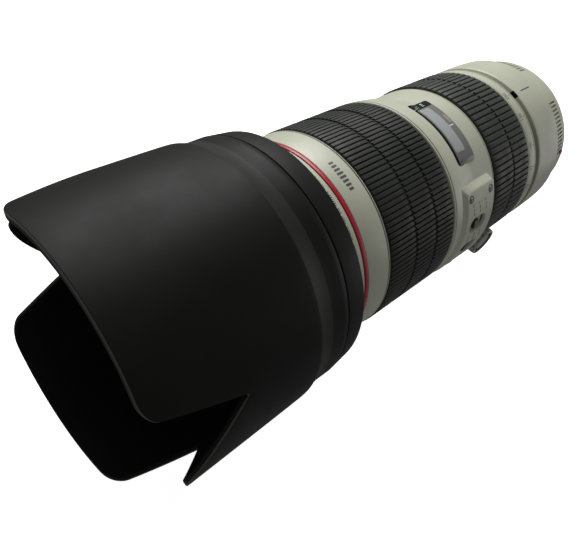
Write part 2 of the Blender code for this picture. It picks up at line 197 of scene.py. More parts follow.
def rubbery(name, base, dusty):
    """Grip rubber: matt, faintly greasy, with dust on the rib tops."""
    shader = Shader(name)
    cloudy = shader.mix(shader.remap(shader.noise(70.0, 5.0), 0.35, 0.75, 0.0, 0.45), base, dusty)
    shader.colour(shader.mix(shader.remap(shader.edges(0.5, 0.56), 0.0, 1.0, 0.0, 0.35), cloudy, dusty))
    shader.uneven_gloss(180.0, 0.42, 0.58)
    shader.bump(shader.noise(2400.0, 3.0), 0.25, 0.0001)
    shader.set(Specular_IOR_Level=0.22)
    return shader.material


def flocked():
    """Light-trap flock inside the hood."""
    shader = Shader("hood_flock")
    shader.colour(shader.mix(shader.remap(shader.noise(2500.0), 0.3, 0.7, 0.0, 1.0),
                             (0.006, 0.006, 0.006), (0.014, 0.014, 0.013)))
    shader.uneven_gloss(1200.0, 0.9, 1.0)
    shader.bump(shader.noise(3500.0), 0.8, 0.0004)
    shader.set(Specular_IOR_Level=0.1)
    return shader.material


def pale_floor():
    """Matt backdrop with a faint glow of its own, so that it stays pale."""
    shader = Shader("floor")
    cloudy = shader.remap(shader.noise(3.0), 0.3, 0.7, 0.0, 1.0)
    shader.colour(shader.mix(cloudy, (0.93, 0.93, 0.93), (0.9, 0.9, 0.9)))
    shader.set(Roughness=0.9, Emission_Color=(1.0, 1.0, 1.0, 1.0), Emission_Strength=0.88)
    return shader.material


WHITE = painted("white_paint", (0.56, 0.575, 0.455), (0.49, 0.49, 0.37))
# Darkened copy of the white paint: painted shade on the collar's front bevel.
SHADED_BEVEL_WHITE = painted("bevel_painted_shade_paint", (0.31, 0.305, 0.22), (0.25, 0.24, 0.16))
RED = painted("red_paint", (0.50, 0.012, 0.03), (0.35, 0.01, 0.02), (0.3, 0.4))
RUBBER = rubbery("focus_rubber", (0.026, 0.029, 0.025), (0.052, 0.056, 0.050))
# Lighter copy of the grip rubber for the zoom ring: painted light, where that ring catches broader light.
LIT_ZOOM_RUBBER = rubbery("zoom_rubber", (0.042, 0.047, 0.041), (0.085, 0.092, 0.083))
HOOD = moulded("hood_shell_plastic", (0.0046, 0.0056, 0.0039), (0.50, 0.60), 1700.0, 0.0001, 0.15, 0.15, 0.17)
# Lighter copy of the hood plastic: a painted highlight where the ramp catches the light.
HOOD_RAMP_HIGHLIGHT = moulded("hood_ramp_painted_highlight", (0.014, 0.0155, 0.012), (0.50, 0.60), 1700.0, 0.0001, 0.15, 0.3,
                     0.22)
# Pale front rim of the hood: rubbed wear together with a painted highlight along the edge.
HOOD_RIM_WEAR_AND_HIGHLIGHT = moulded("hood_rim_wear_and_painted_highlight", (0.06, 0.061, 0.05), (0.4, 0.5), shine=0.4)
FLOCK = flocked()
BLACK = moulded("black_plastic", (0.018, 0.018, 0.018))
ANODISED = metal("black_anodised", (0.022, 0.022, 0.022), (0.35, 0.5), 0.6)
STEEL = metal("satin_steel", (0.62, 0.62, 0.60))
CHROME = metal("mount_chrome", (0.72, 0.71, 0.68), (0.14, 0.26))
ALUMINIUM = metal("bare_aluminium", (0.58, 0.58, 0.57), (0.3, 0.45))
KNOB_GREY = painted("knob_paint", (0.36, 0.36, 0.31), (0.25, 0.24, 0.2), (0.3, 0.42))
BRASS = metal("brass", (0.72, 0.55, 0.25))
GOLD = metal("contact_gold", (0.9, 0.62, 0.2), (0.12, 0.2))
INK = moulded("print_dark", (0.05, 0.055, 0.06), (0.4, 0.5))
INK_WHITE = moulded("print_white", (0.75, 0.75, 0.72), (0.4, 0.5))
INK_GREEN = moulded("print_green", (0.02, 0.35, 0.1), (0.4, 0.5))
INK_RED = moulded("print_red", (0.30, 0.225, 0.205), (0.4, 0.5))
GLASS = glassy("coated_glass", (0.9, 0.95, 0.92))
BEZEL = moulded("window_bezel_plastic", (0.15, 0.155, 0.145), (0.26, 0.36), 900.0, 0.00003, 0.1, 0.1, 0.25)
# Pale grey window pane: part smoky plastic, part painted reflection of the sky.
PANE_WITH_PAINTED_REFLECTION = moulded("window_pane_painted_reflection", (0.33, 0.345, 0.345), (0.08, 0.14), 900.0, 0.00003, 0.05, 0.1)
BLACK_GLOSS = moulded("black_gloss", (0.006, 0.006, 0.006), (0.1, 0.18), 900.0, 0.00003, 0.05, 0.05)
MATT_BLACK = moulded("matt_black", (0.006, 0.006, 0.006), (0.7, 0.8), shine=0.05)
DRUM = moulded("scale_drum", (0.02, 0.02, 0.02), (0.35, 0.45))
DARK_STEEL = metal("dark_screw_steel", (0.22, 0.22, 0.21), (0.25, 0.35))
BLADE = metal("blade_steel", (0.035, 0.035, 0.038), (0.35, 0.5), 0.8)

# ---------------- mesh tools


def linked(name, data):
    """New object in the scene with this data."""
    item = bpy.data.objects.new(name, data)
    bpy.context.scene.collection.objects.link(item)
    return item


def smoothed(data, sharp=30.0):
    """Smooth shading, apart from edges sharper than this many degrees."""
    data.shade_smooth()
    data.set_sharp_from_angle(angle=radians(sharp))


def evaluated_mesh(item):
    """Copy of an object's mesh with its modifiers applied."""
    bpy.context.view_layer.update()
    graph = bpy.context.evaluated_depsgraph_get()
    return bpy.data.meshes.new_from_object(item.evaluated_get(graph))


def add_object(name, mesh, materials, sharp=30.0):
    """Turn a bmesh into a smooth-shaded object with closed, outward faces."""
    bmesh.ops.remove_doubles(mesh, verts=mesh.verts, dist=1e-7)
    bmesh.ops.recalc_face_normals(mesh, faces=mesh.faces)
    data = bpy.data.meshes.new(name)
    mesh.to_mesh(data)
    mesh.free()
    smoothed(data, sharp)
    for material in materials:
        data.materials.append(material)
    return linked(name, data)


def settle(item, body, slot, *nodes):
    """Attach a finished piece to its body and hide the nodes it stands for. The slot argument is not used."""
    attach(item, body)
    if nodes:
        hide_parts(*nodes)
    return item


def softened(outline):
    """Closed outline of (s, r) or (s, r, rounding) points, with its corners rounded."""
    points = []
    count, steps = len(outline), 3
    for i, (s, r, *rounding) in enumerate(outline):
        if not rounding:
            points.append((s, r))
            continue
        here = Vector((s, r))
        back = Vector(outline[i - 1][:2]) - here
        ahead = Vector(outline[(i + 1) % count][:2]) - here
        reach = min(rounding[0], 0.45 * back.length, 0.45 * ahead.length)
        start, end = here + back.normalized() * reach, here + ahead.normalized() * reach
        for k in range(steps + 1):
            t = k / steps
            spot = start * (1 - t) ** 2 + here * 2 * t * (1 - t) + end * t * t
            points.append((spot.x, spot.y))
    return points


def sweep(name, profile_at, angles, materials, full=True, sharp=30.0, slot_of=None):
    """Solid swept about the optical axis; profile_at(angle) is the closed outline there.

    slot_of(i) gives the material index of the outline's i-th side."""
    mesh = bmesh.new()
    loops = []
    for angle in angles:
        c, d = cos(radians(angle)) * MM, sin(radians(angle)) * MM
        loops.append([mesh.verts.new((r * c, -s * MM, r * d)) for s, r in profile_at(angle)])
    following = loops[1:] + loops[:1] if full else loops[1:]
    for near, far in zip(loops, following):
        for i in range(len(near)):
            j = (i + 1) % len(near)
            face = mesh.faces.new((near[i], near[j], far[j], far[i]))
            if slot_of:
                face.material_index = slot_of(i)
    if not full:
        mesh.faces.new(loops[0])
        mesh.faces.new(loops[-1])
    return add_object(name, mesh, materials, sharp)


def even(count, start=0.0, turn=360.0):
    steps = count if turn >= 360.0 else count + 1
    return [start + turn * i / count for i in range(steps)]


def arc(name, outline, start, turn, material, count=8):
    """Part of a ring with one section, over turn degrees from start."""
    return sweep(name, lambda angle: outline, even(count, start, turn), [material], full=False)


def lathe(name, outline, material, columns=FINE, inside=None):
    """Full ring from an outline such as softened() takes.

    inside is (material, radius): the finish of the walls that lie within that radius."""
    points = softened(outline)
    item = sweep(name, lambda angle: points, even(columns), [material])
    if inside:
        item.data.materials.append(inside[0])
        for face in item.data.polygons:
            if Vector((face.center.x, face.center.z)).length < inside[1] * MM:
                face.material_index = 1
    return item


def loft(levels, name, *materials):
    """Closed solid through stacked outlines: levels is a list of (height, points) of equal counts."""
    mesh = bmesh.new()
    rings = [[mesh.verts.new((x * MM, y * MM, z * MM)) for x, y in points] for z, points in levels]
    for near, far in zip(rings, rings[1:]):
        for i in range(len(near)):
            j = (i + 1) % len(near)
            mesh.faces.new((near[i], near[j], far[j], far[i]))
    mesh.faces.new(rings[0])
    mesh.faces.new(rings[-1])
    return add_object(name, mesh, materials)


def box_outline(x0, x1, y0, y1, corner, steps=6):
    """Rounded rectangle, counter-clockwise."""
    points = []
    spots = ((x1 - corner, y0 + corner, -90), (x1 - corner, y1 - corner, 0),
             (x0 + corner, y1 - corner, 90), (x0 + corner, y0 + corner, 180))
    for x, y, start in spots:
        for k in range(steps + 1):
            turn = radians(start + 90 * k / steps)
            points.append((x + corner * cos(turn), y + corner * sin(turn)))
    return points


def circle(x, y, r, steps=32):
    return [(x + r * cos(2 * pi * k / steps), y + r * sin(2 * pi * k / steps)) for k in range(steps)]


def cut(item, tools, operation="DIFFERENCE"):
    """Apply a Boolean with each tool and remove the tools."""
    for tool in tools:
        modifier = item.modifiers.new("cut", "BOOLEAN")
        modifier.operation = operation
        modifier.object = tool
        modifier.solver = "EXACT"
    data = evaluated_mesh(item)
    item.modifiers.clear()
    old = item.data
    item.data = data
    bpy.data.meshes.remove(old)
    for tool in tools:
        bpy.data.objects.remove(tool, do_unlink=True)
    smoothed(data)
    return item


def slice_up(item, axis, low, high, pitch):
    """Cut a flat piece into strips across an axis (0 or 1) so that it can bend smoothly."""
    mesh = bmesh.new()
    mesh.from_mesh(item.data)
    normal = Vector((1, 0, 0)) if axis == 0 else Vector((0, 1, 0))
    count = int((high - low) / pitch)
    for k in range(1, count):
        spot = normal * (low + (high - low) * k / count) * MM
        geometry = mesh.verts[:] + mesh.edges[:] + mesh.faces[:]
        bmesh.ops.bisect_plane(mesh, geom=geometry, plane_co=spot, plane_no=normal, dist=1e-7)
    mesh.to_mesh(item.data)
    mesh.free()
    return item


def wrap(item, s0, r0, angle0):
    """Bend a flat piece round the barrel: x runs forward, y round towards larger angles, z outward."""
    for vertex in item.data.vertices:
        x, y, z = vertex.co
        turn = radians(angle0) + y / (r0 * MM)
        r = r0 * MM + z
        vertex.co = (r * cos(turn), -(s0 * MM + x), r * sin(turn))
    item.data.update()
    mesh = bmesh.new()
    mesh.from_mesh(item.data)
    bmesh.ops.recalc_face_normals(mesh, faces=mesh.faces)
    mesh.to_mesh(item.data)
    mesh.free()
    smoothed(item.data)
    return item


def point_at(s, r, angle):
    return Vector((r * cos(radians(angle)), -s, r * sin(radians(angle)))) * MM


def shift(item, x, y, z):
    item.data.transform(Matrix.Translation(Vector((x, y, z)) * MM))
    return item


def stand_out(item, s, r, angle):
    """Bake a flat piece so that its +z points straight out of the barrel and its x forward."""
    out = Vector((cos(radians(angle)), 0.0, sin(radians(angle))))
    forward = Vector((0.0, -1.0, 0.0))
    side = out.cross(forward)
    turn = Matrix((forward, side, out)).transposed().to_4x4()
    item.data.transform(Matrix.Translation(point_at(s, r, angle)) @ turn)
    return item


def join(items, name):
    """Join finished pieces of one body into a single object."""
    mesh = bmesh.new()
    materials = []
    for item in items:
        offset = []
        for material in item.data.materials:
            if material not in materials:
                materials.append(material)
            offset.append(materials.index(material))
        start = len(mesh.faces)
        mesh.from_mesh(item.data)
        mesh.faces.ensure_lookup_table()
        for face in mesh.faces[start:]:
            face.material_index = offset[face.material_index] if offset else 0
    data = bpy.data.meshes.new(name)
    mesh.to_mesh(data)
    mesh.free()
    for item in items:
        bpy.data.objects.remove(item, do_unlink=True)
    smoothed(data)
    for material in materials:
        data.materials.append(material)
    return linked(name, data)


def print_text(text, size, material, name):
    """Thin printed numerals, centred, their tops towards the front of the lens."""
    curve = bpy.data.curves.new(name, "FONT")
    curve.body = text
    curve.size = size * MM
    curve.align_x = "CENTER"
    curve.align_y = "CENTER"
    curve.extrude = 0.02 * MM
    curve.resolution_u = 3
    source = linked(name, curve)
    data = evaluated_mesh(source)
    bpy.data.objects.remove(source, do_unlink=True)
    swap = Matrix(((0, 1, 0, 0), (1, 0, 0, 0), (0, 0, 1, 0), (0, 0, 0, 1)))
    data.transform(swap)
    data.materials.clear()
    data.materials.append(material)
    return linked(name, data)


def mark(length, width, height=0.04):
    """Thin printed bar, long along x."""
    points = box_outline(-length / 2, length / 2, -width / 2, width / 2, 0.3 * min(length, width), 2)
    return loft([(-0.05, points), (height, points)], "mark", INK)


# ---------------- petal hood

HOOD_SEAM, HOOD_START = 182.3, 172.3
PETAL_FRONT, LOW_PETAL_FRONT = 263.3, 259.3
CORNER_DROP = 6.5
NOTCH_AWAY, NOTCH_BOTTOM = 56.2, 230.2


def smooth_step(t):
    t = min(1.0, max(0.0, t))
    return t * t * (3 - 2 * t)


def petal_edge(angle):
    """Where the hood's front edge lies at this angle: long petals up and down, short ones at the sides."""
    away = abs((angle - 90.0 + 90.0) % 180.0 - 90.0)
    low = angle > 180.0
    front = LOW_PETAL_FRONT if low else PETAL_FRONT
    side, width = (45.2, 13.0) if low or angle > 90.0 else (46.0, 10.0)
    start = side - width
    across, down = (NOTCH_AWAY - start) / width, (NOTCH_BOTTOM - front + CORNER_DROP) / CORNER_DROP
    turn = asin(1.0 / hypot(across, down)) - atan2(down, across)
    corner_end = start + width * sin(turn)
    corner_front = front - CORNER_DROP * (1.0 - cos(turn))
    if away <= start:
        return front
    if away <= corner_end:
        t = (away - start) / width
        return front - CORNER_DROP * (1.0 - (1.0 - t * t) ** 0.5)
    if away <= NOTCH_AWAY:
        return corner_front - (corner_front - NOTCH_BOTTOM) * (away - corner_end) / (NOTCH_AWAY - corner_end)
    if away <= 58.0:
        return NOTCH_BOTTOM - 0.3
    share = (90.0 - away) / 32.0
    return 250.4 - 20.2 * share ** 1.55


def hood_radius(s):
    """Outer radius of the hood shell."""
    if s <= 189.0:
        return 50.2
    if s <= 197.5:
        return 50.2 + 1.6 * ((s - 189.0) / 8.5) ** 1.8
    if s <= 199.5:
        return 51.8 + 0.15 * (s - 197.5) / 2.0
    return 51.95 + 1.55 * ((s - 199.5) / 64.0) ** 0.9


def hood_wall(s):
    """Wall of the hood shell: thin over the barrel, thicker towards the petals."""
    return 1.6 + 0.9 * smooth_step((s - 205.0) / 20.0)


def hood_angles():
    """Even columns, closer together down the petals' steep sides."""
    angles = set(round(a, 3) for a in even(240))
    for centre in (90.0, 270.0):
        for side in (-1, 1):
            for k in range(121):
                angles.add(round((centre + side * (35.0 + 0.2 * k)) % 360.0, 3))
    return sorted(angles)


def hood_profile(angle):
    tip = petal_edge(angle)
    start = HOOD_SEAM + 0.35
    rows = [start, start + 0.25, 185.0, 189.0, 190.5, 192.0, 193.5, 195.0, 196.3, 197.4, 197.9, 199.5, 205.0]
    rows += [205.0 + (tip - 0.9 - 205.0) * k / 8 for k in range(1, 9)]
    outer = [(s, hood_radius(s) - (0.25 if k == 0 else 0.0)) for k, s in enumerate(rows)]
    edge = hood_radius(tip)
    back = edge - hood_wall(tip)
    rim = [(tip - 0.35, edge - 0.06), (tip - 0.08, edge - 0.32), (tip, edge - 0.7),
           (tip, back + 0.7), (tip - 0.08, back + 0.32), (tip - 0.35, back + 0.06)]
    inner = [(s, hood_radius(s) - hood_wall(s)) for s in reversed(rows)]
    return outer + rim + inner


def build_hood():
    count = len(hood_profile(90.0))
    outer_sides = count // 2

    def side(i):
        """Lighter plastic on the ramp as a painted highlight, a pale front edge that is rubbed wear and a
        painted highlight, flock inside.
        """
        if 4 <= i <= 8:
            return 2
        if outer_sides - 3 <= i < outer_sides - 1:
            return 3
        return 0 if i < outer_sides or i == count - 1 else 1

    shell = sweep("hood_shell_skin", hood_profile, hood_angles(), [HOOD, FLOCK, HOOD_RAMP_HIGHLIGHT, HOOD_RIM_WEAR_AND_HIGHLIGHT],
                  sharp=50.0, slot_of=side)
    settle(shell, "hood", "hood_black", "hood_shell")
    outline = [
        (HOOD_START, 43.3), (HOOD_START, 47.6, 0.5), (HOOD_START + 0.9, 48.95, 0.5),
        (HOOD_SEAM - 0.25, 50.08, 0.2), (HOOD_SEAM, 49.7), (HOOD_SEAM, 43.3),
    ]
    body = lathe("hood_ring_skin", outline, HOOD)
    pocket = stand_out(loft([(-5.0, circle(0, 0, 3.6, 48)), (4.0, circle(0, 0, 3.6, 48))], "pocket"),
                       177.2, 50.0, -50.0)
    settle(cut(body, [pocket]), "hood", "hood_black", "hood_ring")
    levels = [(-3.2, circle(0, 0, 3.1, 48)), (0.1, circle(0, 0, 3.1, 48)), (0.45, circle(0, 0, 2.8, 48)),
              (0.5, circle(0, 0, 2.4, 48)), (0.25, circle(0, 0, 1.6, 48)), (0.2, circle(0, 0, 0.8, 48))]
    button = stand_out(loft(levels, "hood_button_cap", BLACK), 177.2, 49.6, -50.0)
    settle(button, "hood_release", "dark_plastic", "hood_release_button")


# ---------------- ribbed grips


def ribbed(name, s0, s1, r_at, inner, count, ticks, rubber, body, *nodes):
    """Grip sleeve with straight ribs.

    At each tick line a short notch crosses part of every rib, which rises again over a ramp in front."""
    pitch = 360.0 / count
    groove = 0.95
    columns = ((0.00, 0.0), (0.14, 0.0), (0.18, 0.7), (0.25, 0.97), (0.45, 1.0), (0.61, 1.0), (0.66, 1.0),
               (0.90, 0.97), (0.96, 0.7))
    half, ramp = 0.32, 3.0
    rows = {s0, s0 + 0.15, s0 + 0.5, s1 - 0.5, s1 - 0.15, s1}
    for tick in ticks:
        rows |= {tick - half - 0.1, tick - half, tick + half, tick + half + 0.1, tick + half + ramp}
    middle = 8
    rows |= {s0 + (s1 - s0) * k / middle for k in range(1, middle)}
    rows = sorted(rows)
    lifts = {}

    def height(part, level, s):
        if s == s0 or s == s1:
            return min(level, 0.45)
        if s - s0 < 0.2 or s1 - s < 0.2:
            return min(level, 0.8)
        for tick in ticks:
            if abs(s - tick) <= half + 1e-6 and 0.15 < part < 0.63:
                return 0.4
            if 0.0 < s - tick - half < ramp:
                return level * (0.62 + 0.38 * (s - tick - half) / ramp)
        return level

    def profile(angle):
        part, level = lifts[angle]
        outer = [(s, r_at(s) - groove + groove * height(part, level, s)) for s in rows]
        return outer + [(s1, inner), (s0, inner)]

    angles = []
    for k in range(count):
        for part, level in columns:
            angle = (k + part) * pitch
            lifts[angle] = (part, level)
            angles.append(angle)
    grip = sweep(name, profile, angles, [rubber], sharp=40.0)
    return settle(grip, body, "rubber", *nodes)


def build_grips():
    focus_start, focus_end = 109.2, 150.0
    zoom_start, zoom_end = 44.2, 73.2

    def focus_radius(s):
        return 42.72 + 0.28 * (s - focus_start) / (focus_end - focus_start)

    def zoom_radius(s):
        return 40.4 + 0.35 * (s - zoom_start) / (zoom_end - zoom_start)

    ribbed("focus_grip", focus_start, focus_end, focus_radius, 40.8, 124, (120.9, 134.1), RUBBER,
           "focus_ring", "focus_rubber")
    ribbed("zoom_grip", zoom_start, zoom_end, zoom_radius, 39.2, 90, (57.7,), LIT_ZOOM_RUBBER, "zoom_ring",
           "zoom_rubber")


# ---------------- barrel shells


def seam(name, s0, s1, r, body):
    """Dark line at the bottom of a shallow turned groove."""
    ring = [(s0, r - 0.4), (s0, r), (s1, r), (s1, r - 0.4)]
    settle(lathe(name, ring, MATT_BLACK), body, "dark_plastic")


def build_front_barrel():
    outline = [
        (150.4, 36.3), (150.4, 42.2, 0.2), (150.7, 42.65, 0.2), (151.1, 42.65, 0.1), (151.15, 42.3),
        (151.55, 42.3), (151.6, 42.65, 0.1), (162.8, 42.5, 0.2), (163.0, 41.5), (165.0, 41.5),
        (165.2, 42.45, 0.2), (171.5, 42.3, 0.3), (172.0, 42.0, 0.2), (178.0, 41.9, 0.3), (178.4, 41.2, 0.2),
        (181.0, 41.2, 0.2), (181.4, 41.95, 0.3), (190.0, 41.95, 0.2), (190.0, 39.6), (153.0, 39.6),
        (153.0, 36.3),
    ]
    shell = lathe("front_barrel_shell", outline, WHITE, inside=(ANODISED, 40.5))
    settle(shell, "barrel", "white_paint", "front_barrel")
    seam("front_barrel_seam", 151.14, 151.56, 42.5, "barrel")
    stripe = [(163.15, 41.6), (163.15, 42.65, 0.4), (164.85, 42.62, 0.4), (164.85, 41.6)]
    settle(lathe("red_stripe", stripe, RED), "barrel", "red_paint", "red_ring")
    thread = [(190.3, 38.2), (190.3, 42.1, 0.3), (198.6, 42.1, 0.3), (199.0, 41.7, 0.2),
              (199.0, 39.2, 0.2)]
    for k in range(6):
        s = 198.4 - 0.75 * k
        thread += [(s, 38.95), (s - 0.37, 39.4)]
    thread += [(193.6, 38.95), (193.6, 38.2, 0.2)]
    settle(lathe("filter_thread_ring", thread, ANODISED, MEDIUM), "barrel", "black_metal", "filter_ring")

    dashes = []
    for k, angle in enumerate(even(96, 40.0, 100.0)):
        if k % 9 == 8 or k % 13 == 5:
            continue
        dash = mark(1.2 if k % 3 else 0.7, 0.32)
        dashes.append(wrap(dash, 167.4, 42.41, angle))
    settle(join(dashes, "front_tick_band"), "barrel", "dark_plastic")
    bars = []
    for k in range(8):
        bar = mark(3.2 - 0.3 * abs(k - 3.5), 0.95)
        bars.append(wrap(bar, 157.0, 42.6, 81.1 + 2.3 * k))
    settle(join(bars, "front_bar_mark"), "barrel", "dark_plastic")


WINDOW_S, WINDOW_ANGLE, WINDOW_R = 91.4, 88.6, 41.0
WINDOW_HALF_S, WINDOW_HALF_ARC = 7.0, 17.4
DRUM_R = 38.0


def build_mid_barrel():
    outline = [
        (73.6, 36.3), (73.6, 39.2, 0.2), (73.8, 39.7, 0.2), (74.6, 39.85, 0.05), (74.65, 39.55),
        (74.9, 39.55), (74.95, 39.9, 0.05), (76.0, 39.95, 0.4), (90.6, 40.0, 2.0), (95.0, 40.85, 1.5),
        (98.2, 41.5, 1.5), (101.2, 42.0, 1.5), (104.2, 42.4, 1.5), (107.0, 42.62, 0.1), (107.05, 42.35),
        (107.4, 42.35), (107.45, 42.65, 0.1), (108.2, 42.68, 0.2), (108.55, 42.2, 0.2),
        (108.55, 38.5), (79.8, 38.5), (79.8, 36.3),
    ]
    shell = lathe("mid_barrel_shell", outline, WHITE, inside=(ANODISED, 39.0))
    opening = box_outline(-WINDOW_HALF_S, WINDOW_HALF_S, -WINDOW_HALF_ARC, WINDOW_HALF_ARC, 2.3)
    tool = loft([(-3.0, opening), (2.0, opening)], "opening", ANODISED)
    slice_up(tool, 1, -WINDOW_HALF_ARC, WINDOW_HALF_ARC, 0.8)
    wrap(tool, WINDOW_S, WINDOW_R, WINDOW_ANGLE)
    settle(cut(shell, [tool]), "barrel", "white_paint", "mid_barrel")
    seam("mid_front_seam", 107.04, 107.41, 42.5, "barrel")
    seam("mid_rear_seam", 74.64, 74.91, 39.72, "barrel")


def window_plate(name, x0, x1, y0, y1, low, high, corner, material):
    """Thin plate inside the distance window, bent to the barrel."""
    outer = box_outline(x0, x1, y0, y1, corner)
    inner = box_outline(x0 + 0.08, x1 - 0.08, y0 + 0.08, y1 - 0.08, max(0.05, corner - 0.05))
    plate = loft([(low, outer), (high - 0.05, outer), (high, inner)], name, material)
    slice_up(plate, 1, y0, y1, 0.8)
    return wrap(plate, WINDOW_S, WINDOW_R, WINDOW_ANGLE)


def build_window():
    """Distance window: dark bezel in the opening, a black strip of painted shadow along its front edge, a
    pale grey pane over the drum that is part smoky plastic and part painted sky reflection, unit marks and an
    index.
    """
    half_s, half_arc = WINDOW_HALF_S, WINDOW_HALF_ARC
    bezel = window_plate("window_bezel", -half_s + 0.05, half_s - 0.05, -half_arc + 0.05, half_arc - 0.05,
                         -1.6, -0.65, 2.2, BEZEL)
    pane_low, pane_high = -11.9, 12.8
    hole = box_outline(-3.0, 3.1, pane_low, pane_high, 0.7)
    tool = loft([(-3.0, hole), (1.0, hole)], "hole", BEZEL)
    slice_up(tool, 1, pane_low, pane_high, 0.8)
    wrap(tool, WINDOW_S, WINDOW_R, WINDOW_ANGLE)
    settle(cut(bezel, [tool]), "barrel", "window", "distance_window")
    pane = window_plate("window_pane", -2.98, 3.08, pane_low + 0.02, pane_high - 0.02, -1.4, -0.62, 0.7, PANE_WITH_PAINTED_REFLECTION)
    settle(pane, "barrel", "window")
    end = window_plate("window_end_plate", -half_s + 0.1, half_s - 0.1, 13.4, half_arc - 0.1,
                       -1.2, -0.59, 0.9, BLACK_GLOSS)
    settle(end, "barrel", "dark_plastic")
    # Black strip along the window's front edge: painted shadow of the opening's front wall.
    painted_shadow = window_plate("window_front_painted_shadow", 3.9, half_s - 0.1, -half_arc + 0.4, 13.6, -1.2, -0.60, 0.3,
                         MATT_BLACK)
    settle(painted_shadow, "barrel", "dark_plastic")
    tick = window_plate("window_index", -5.6, -2.6, -0.3, 0.2, -1.2, -0.57, 0.1, INK_WHITE)
    settle(tick, "barrel", "dark_plastic")
    red = window_plate("window_red_index", -6.3, -4.7, 1.2, 5.8, -1.2, -0.62, 0.2, INK_RED)
    settle(red, "barrel", "red_paint")
    units = (("m", -1.6, INK_WHITE, "unit_metre"), ("ft", 2.0, INK_GREEN, "unit_foot"))
    for text, s, material, name in units:
        glyph = shift(print_text(text, 3.0, material, name), s, 15.3, -0.57)
        settle(wrap(glyph, WINDOW_S, WINDOW_R, WINDOW_ANGLE), "barrel", "dark_plastic")


def build_drum():
    """Distance drum under the window, with its numerals waiting below the pane at infinity."""
    NODES["distance_scale"].data.materials[0] = DRUM
    rows = (("ft", INK_GREEN, 1.9, (("50", 62.0), ("30", 54.0), ("20", 46.0), ("15", 38.0), ("10", 28.0),
                                    ("7", 18.0), ("5", 8.0))),
            ("m", INK_WHITE, -1.9, (("15", 60.0), ("10", 53.0), ("5", 42.0), ("3", 29.0), ("2", 17.0),
                                    ("1.5", 7.0))))
    for unit, material, s, numerals in rows:
        glyphs = []
        for text, angle in numerals:
            glyph = print_text(text, 2.6, material, "numeral")
            glyphs.append(wrap(glyph, WINDOW_S + s, DRUM_R + 0.04, angle))
        settle(join(glyphs, f"drum_numerals_{unit}"), "distance_drum", "dark_plastic")


# ---------------- switch panel

PANEL_S, PANEL_R = 90.45, 41.2
PANEL_HALF_ARC = 38.0
SWITCH_S, SWITCH_ANGLES = 90.5, (27.0, 8.7, -9.6, -27.9)
PANEL_SCREWS = ((96.9, 44.6), (82.3, 44.6), (96.9, -44.6), (82.3, -44.6))


def slot_outline(length, width, x, y):
    """Round-ended slot, long along x."""
    half, steps = length / 2 - width / 2, 12
    points = []
    for side, start in ((1, -90.0), (-1, 90.0)):
        for k in range(steps + 1):
            turn = radians(start + 180.0 * k / steps)
            points.append((x + side * half + cos(turn) * width / 2, y + sin(turn) * width / 2))
    return points


def panel_point(s, angle):
    """Flat place on the panel of a point at s and angle."""
    return s - PANEL_S, radians(angle) * PANEL_R


def barrel_flare(s):
    """How far the mid barrel has risen above its narrow part at this distance."""
    return 2.1 * max(0.0, 2.0 * smooth_step(0.5 + (s - 91.0) / 26.0) - 1.0)


def cross_screw(name, r, height, material):
    """Domed screw head with a cross recess, standing on z = 0."""
    levels = [(-0.6, circle(0, 0, r, 36)), (0.45 * height, circle(0, 0, r, 36)),
              (0.8 * height, circle(0, 0, 0.88 * r, 36)), (height, circle(0, 0, 0.6 * r, 36)),
              (1.04 * height, circle(0, 0, 0.25 * r, 36))]
    head = loft(levels, name, material)
    arm, wide = 0.62 * r, 0.16 * r
    bars = []
    for x, y in ((arm, wide), (wide, arm)):
        outline = box_outline(-x, x, -y, y, 0.3 * wide, 2)
        bars.append(loft([(0.25 * height, outline), (1.5 * height, outline)], "bar", material))
    return cut(head, bars)


